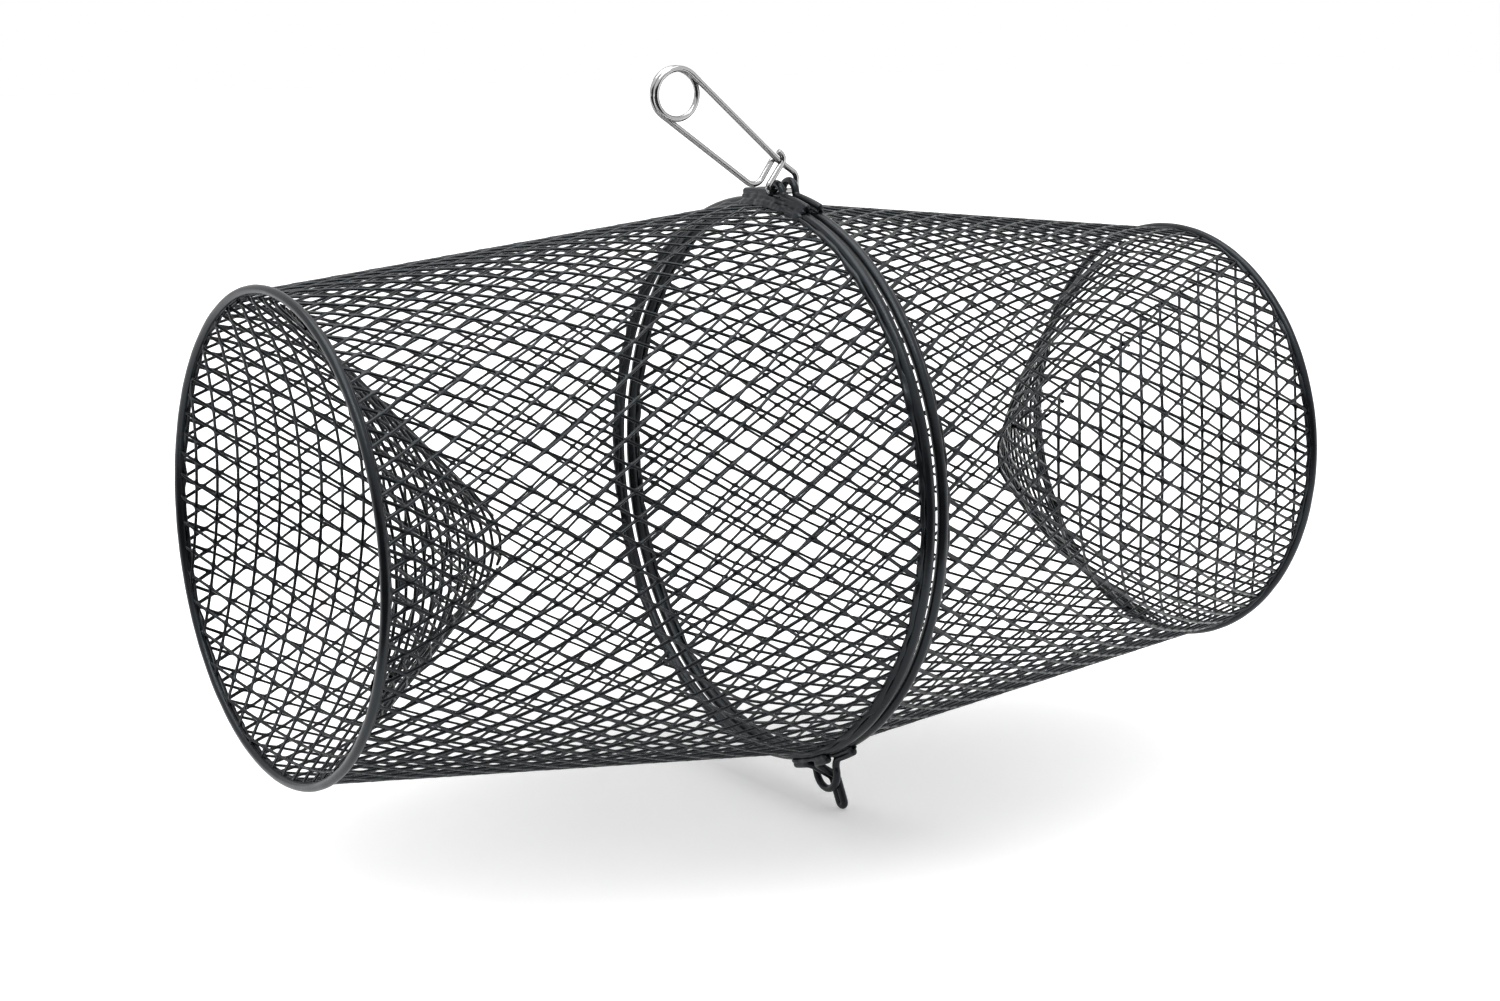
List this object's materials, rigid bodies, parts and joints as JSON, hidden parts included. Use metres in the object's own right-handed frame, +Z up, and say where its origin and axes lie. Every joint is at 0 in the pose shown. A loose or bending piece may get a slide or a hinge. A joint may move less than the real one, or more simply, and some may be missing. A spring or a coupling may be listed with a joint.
{
  "type": "fish trap",
  "caption": "Tapered mesh basket trap whose halves hinge at their rims, with a mesh funnel pointing inward at each end and a coiled spring-wire clip that holds the rims shut.",
  "frame": {"origin": "on the surface the trap stands on, under the middle of the trap where its halves meet", "axes": "+X along the trap towards the half with the hinge eye, +Z up, -Y towards the side the picture shows"},
  "size_m": [0.4316, 0.2274, 0.2946],
  "materials": {
    "coated_wire": "black dipped vinyl on steel wire, satin",
    "coated_mesh": "black dipped vinyl on expanded steel mesh, satin",
    "plated_wire": "bright plated spring wire"
  },
  "bodies": {
    "left_half": {"left_end_ring": "coated_wire", "left_middle_rim": "coated_wire", "left_wall_mesh": "coated_mesh", "left_funnel_mesh": "coated_mesh", "left_latch_ear": "coated_wire", "left_hinge_tongue": "coated_wire"},
    "right_half": {"right_end_ring": "coated_wire", "right_middle_rim": "coated_wire", "right_wall_mesh": "coated_mesh", "right_funnel_mesh": "coated_mesh", "right_latch_ear": "coated_wire", "right_hinge_eye": "coated_wire"},
    "clip": {"clip_wire": "plated_wire"},
    "clip_arm": {"clip_spring_arm": "plated_wire"}
  },
  "joints": [
    {"name": "halves_hinge", "type": "hinge", "parent": "left_half", "child": "right_half", "pos_m": [0.003, -0.04015, 0.00888], "axis": [0, 0.9483, -0.3173], "range_deg": [0, 110]},
    {"name": "clip_swing", "type": "hinge", "parent": "left_half", "child": "clip", "pos_m": [0, -0.01015, 0.2449], "axis": [1, 0, 0], "range_deg": [-30, 30]},
    {"name": "clip_squeeze", "type": "hinge", "parent": "clip", "child": "clip_arm", "pos_m": [-0.049, -0.01015, 0.284], "axis": [0, 1, 0], "range_deg": [0, 8], "stiffness_Nm_per_rad": 2, "springref_deg": -5.73}
  ]
}
